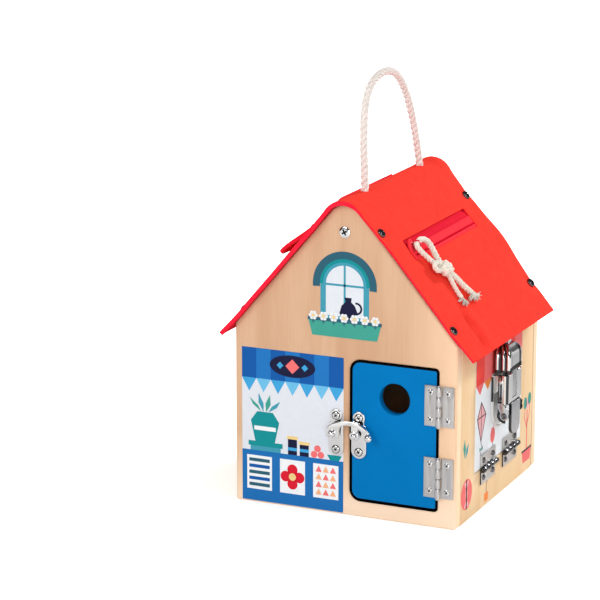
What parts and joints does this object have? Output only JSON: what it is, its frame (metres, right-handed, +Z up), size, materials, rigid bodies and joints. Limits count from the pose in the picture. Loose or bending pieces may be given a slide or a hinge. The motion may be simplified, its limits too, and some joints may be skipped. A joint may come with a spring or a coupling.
{
  "type": "activity house",
  "caption": "Wooden play house with a felt roof, rope handle, hinged front door with swing latch, drop-down side flap with toggle latch, zipped roof slot and pocket flap.",
  "frame": {"origin": "middle of the footprint, on the underside of the floor panel", "axes": "+Z up, +X to the right seen from the front, +Y from the front panel to the back panel"},
  "size_m": [0.2502, 0.236, 0.404],
  "materials": {
    "plywood": "clear lacquered plywood",
    "light_wood": "clear lacquered plywood",
    "blue_paint": "satin blue paint over plywood",
    "white_paint": "printed white over plywood",
    "red_felt": "pressed felt",
    "crimson_tape": "woven zip tape",
    "cotton": "twisted cotton rope",
    "nickel": "nickel plated steel",
    "chrome": "polished plating",
    "crimson_enamel": "baked enamel over die-cast metal"
  },
  "bodies": {
    "house": {"front_panel": "plywood", "back_panel": "plywood", "left_wall": "light_wood", "right_wall": "light_wood", "floor_panel": "light_wood", "ridge_beam": "light_wood", "gable_screw_front": "nickel", "gable_screw_back": "nickel", "roof_felt": "red_felt", "roof_stud_right_front_upper": "nickel", "roof_stud_right_front_lower": "nickel", "roof_stud_right_rear_upper": "nickel", "roof_stud_right_rear_lower": "nickel", "roof_stud_left_front_upper": "nickel", "roof_stud_left_front_lower": "nickel", "roof_stud_left_rear_upper": "nickel", "roof_stud_left_rear_lower": "nickel", "rope_handle": "cotton", "zip_tape_upper": "crimson_tape", "zip_tape_lower": "crimson_tape", "door_hinge_upper_frame_leaf": "nickel", "door_hinge_upper_pin": "nickel", "door_hinge_lower_frame_leaf": "nickel", "door_hinge_lower_pin": "nickel", "flap_hinge_front_wall_leaf": "nickel", "flap_hinge_front_pin": "nickel", "flap_hinge_rear_wall_leaf": "nickel", "flap_hinge_rear_pin": "nickel", "latch_frame_plate": "chrome", "latch_stud": "chrome", "latch_frame_screw_upper": "nickel", "latch_frame_screw_lower": "nickel", "toggle_strike": "chrome"},
    "front_door": {"front_door": "blue_paint", "door_hinge_upper_door_leaf": "nickel", "door_hinge_lower_door_leaf": "nickel", "latch_door_plate": "chrome", "latch_rivet": "chrome", "latch_door_screw_upper": "nickel", "latch_door_screw_lower": "nickel"},
    "latch_arm": {"latch_arm": "chrome"},
    "side_flap": {"side_flap": "white_paint", "flap_hinge_front_flap_leaf": "nickel", "flap_hinge_rear_flap_leaf": "nickel", "toggle_base": "chrome", "lever_rivet_front": "nickel", "lever_rivet_rear": "nickel"},
    "toggle_lever": {"toggle_lever": "chrome", "claw_pin": "nickel"},
    "toggle_claw": {"toggle_claw": "chrome"},
    "zip_slider": {"zip_slider": "crimson_enamel", "pull_cord": "cotton"},
    "pocket_flap": {"pocket_flap": "red_felt"}
  },
  "joints": [
    {"name": "door_swing", "type": "hinge", "parent": "house", "child": "front_door", "pos_m": [0.0935, -0.11295, 0.082], "axis": [0, 0, 1], "range_deg": [0, 165]},
    {"name": "latch_turn", "type": "hinge", "parent": "front_door", "child": "latch_arm", "pos_m": [0.0125, -0.115, 0.079], "axis": [0, 1, 0], "range_deg": [0, 95]},
    {"name": "flap_drop", "type": "hinge", "parent": "house", "child": "side_flap", "pos_m": [0.11295, 0.002, 0.0389], "axis": [0, -1, 0], "range_deg": [-95, 0]},
    {"name": "lever_lift", "type": "hinge", "parent": "side_flap", "child": "toggle_lever", "pos_m": [0.12, 0.002, 0.118], "axis": [0, -1, 0], "range_deg": [0, 100]},
    {"name": "claw_tilt", "type": "hinge", "parent": "toggle_lever", "child": "toggle_claw", "pos_m": [0.117, 0.002, 0.11], "axis": [0, -1, 0], "range_deg": [-90, 0]},
    {"name": "zip_slide", "type": "slide", "parent": "house", "child": "zip_slider", "axis": [0, 1, 0], "range_m": [0, 0.13]},
    {"name": "pocket_lift", "type": "hinge", "parent": "house", "child": "pocket_flap", "pos_m": [-0.02054, -0.016, 0.28794], "axis": [0, 1, 0], "range_deg": [0, 110]}
  ],
  "couplings": [
    {"joint": "claw_tilt", "follows": "lever_lift", "ratio": -0.815}
  ]
}
